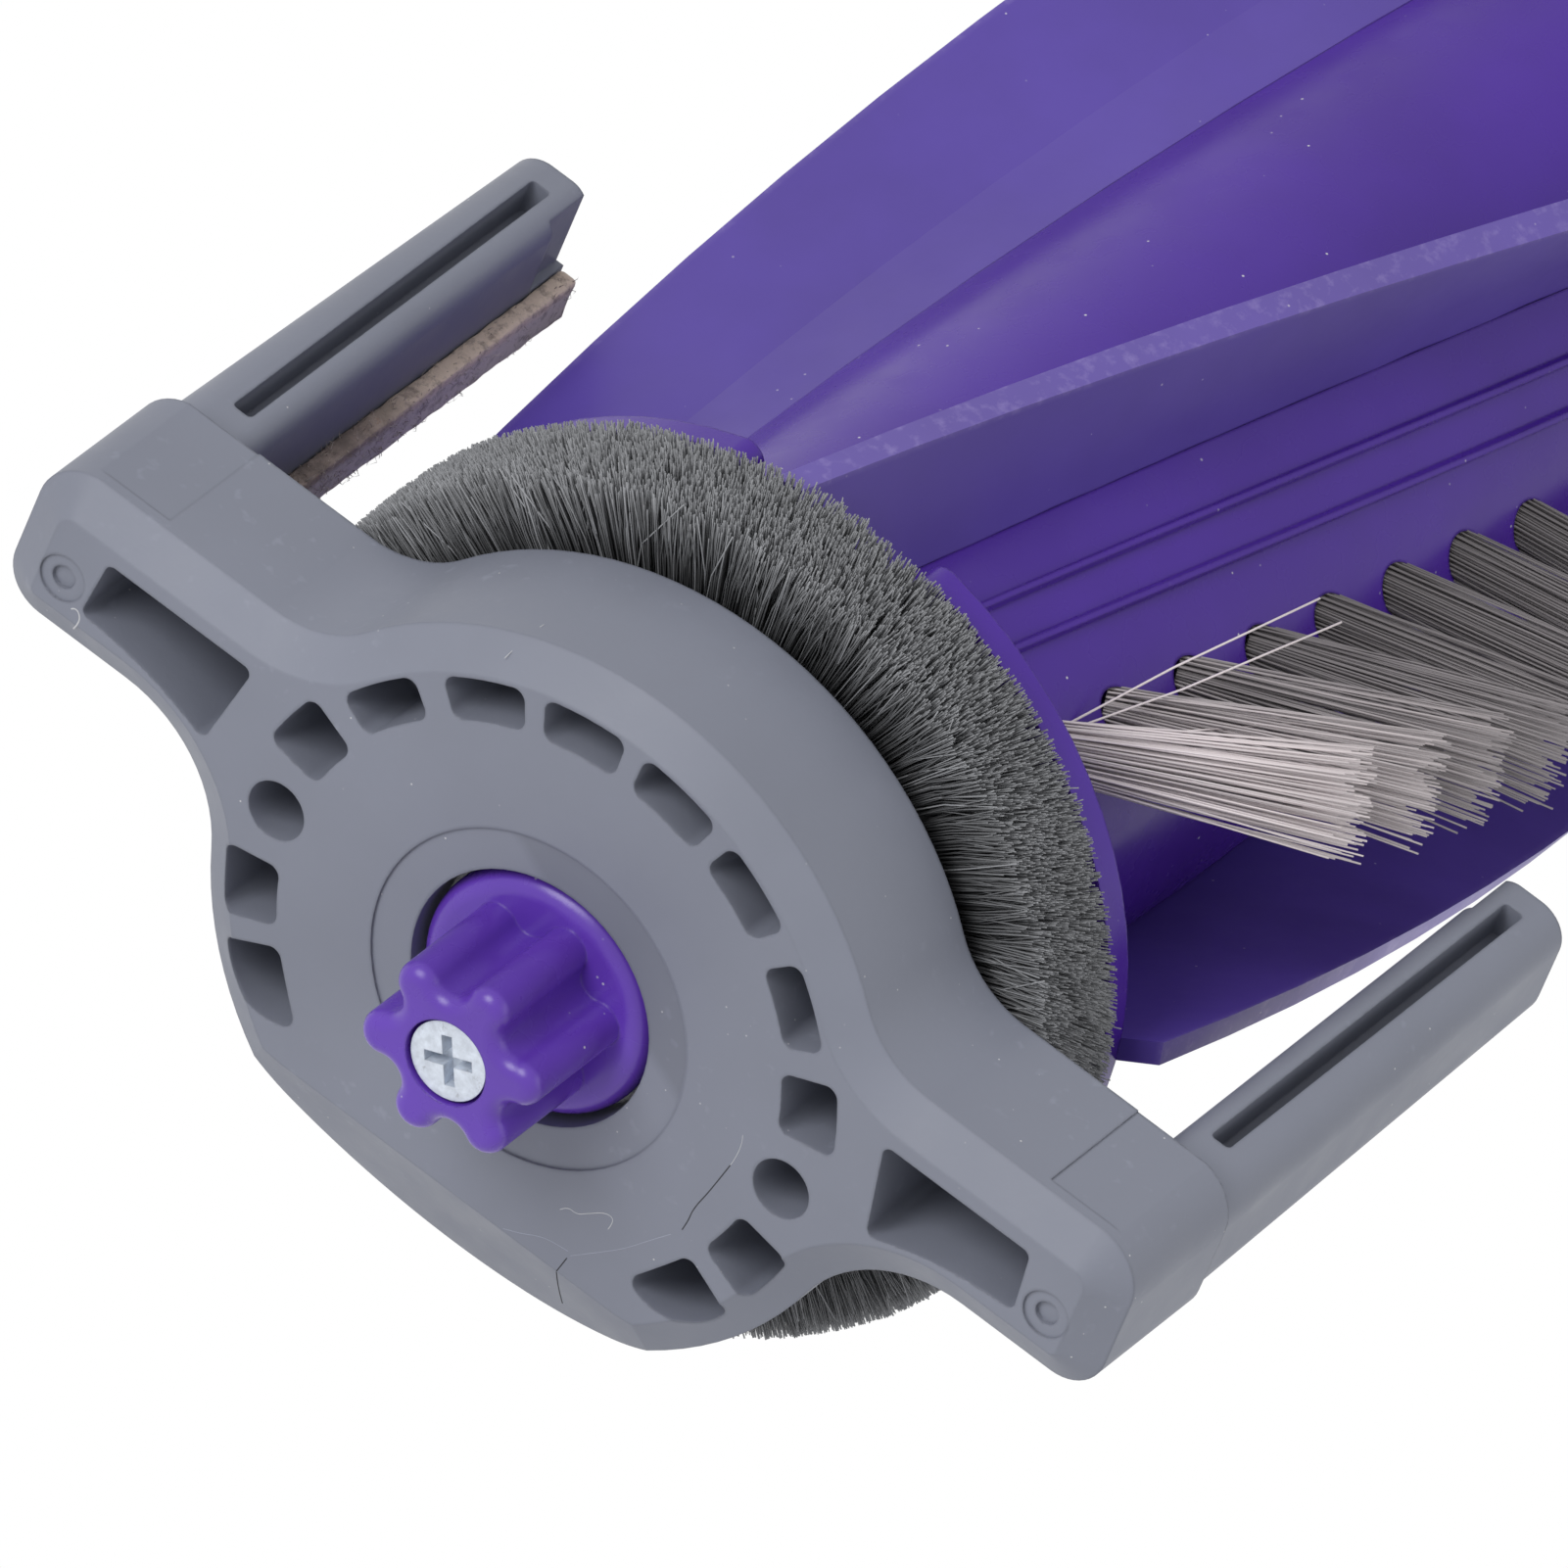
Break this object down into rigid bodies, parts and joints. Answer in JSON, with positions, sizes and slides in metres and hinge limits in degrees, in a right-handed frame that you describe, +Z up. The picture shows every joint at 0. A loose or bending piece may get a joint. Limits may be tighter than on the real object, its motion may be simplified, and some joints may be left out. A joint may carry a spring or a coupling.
{
  "type": "robot vacuum main brush",
  "caption": "Robot vacuum main brush: helical roller with soft fins and bristle rows, star drive hub and a winged end frame that carries the drive bearing.",
  "frame": {"origin": "on the roller axis, midway between the two locating holes, in the end frame's front face", "axes": "+X along the roller axis from the drive end to the idle end, Y along the end frame's wings, +Z up towards the frame's grooved arm tops"},
  "size_m": [0.2592, 0.0736, 0.0628],
  "materials": {
    "grey_plastic": "satin moulded plastic, dusty",
    "felt": "dirty felt strip",
    "bearing_steel": "bright ground steel",
    "purple_plastic": "glossy moulded plastic",
    "soft_fin": "matte soft plastic",
    "zinc_screw": "zinc plated",
    "bristle": "stiff grey filament",
    "pile": "dense dark grey pile",
    "backing": "woven backing"
  },
  "bodies": {
    "end_frame_body": {"end_frame": "grey_plastic", "felt_left": "felt", "felt_right": "felt", "drive_bearing_outer": "bearing_steel", "drive_bearing_shield": "bearing_steel"},
    "roller": {"drive_bearing_inner": "bearing_steel", "drive_bearing_balls": "bearing_steel", "drive_hub": "purple_plastic", "hub_screw": "zinc_screw", "roller_core": "purple_plastic", "paddle_a": "soft_fin", "paddle_b": "soft_fin", "blade_a": "soft_fin", "blade_b": "soft_fin", "bristle_row_a": "bristle", "bristle_row_b": "bristle", "bristle_end_a": "bristle", "bristle_end_b": "bristle", "drive_pile_backing": "backing", "drive_pile": "pile", "idle_pile_backing": "backing", "idle_pile": "pile", "idle_plug": "purple_plastic", "idle_bearing_inner": "bearing_steel", "idle_bearing_balls": "bearing_steel", "idle_washer": "zinc_screw", "idle_screw": "zinc_screw"},
    "idle_cap_body": {"idle_cap": "grey_plastic", "idle_bearing_outer": "bearing_steel"}
  },
  "joints": [
    {"name": "roller_spin", "type": "hinge", "parent": "end_frame_body", "child": "roller", "pos_m": [0, 0, 0], "axis": [1, 0, 0], "continuous": true, "deforming": ["bristle_end_a", "bristle_end_b"]},
    {"name": "idle_cap_spin", "type": "hinge", "parent": "roller", "child": "idle_cap_body", "pos_m": [0.24535, 0, 0], "axis": [1, 0, 0], "continuous": true}
  ]
}
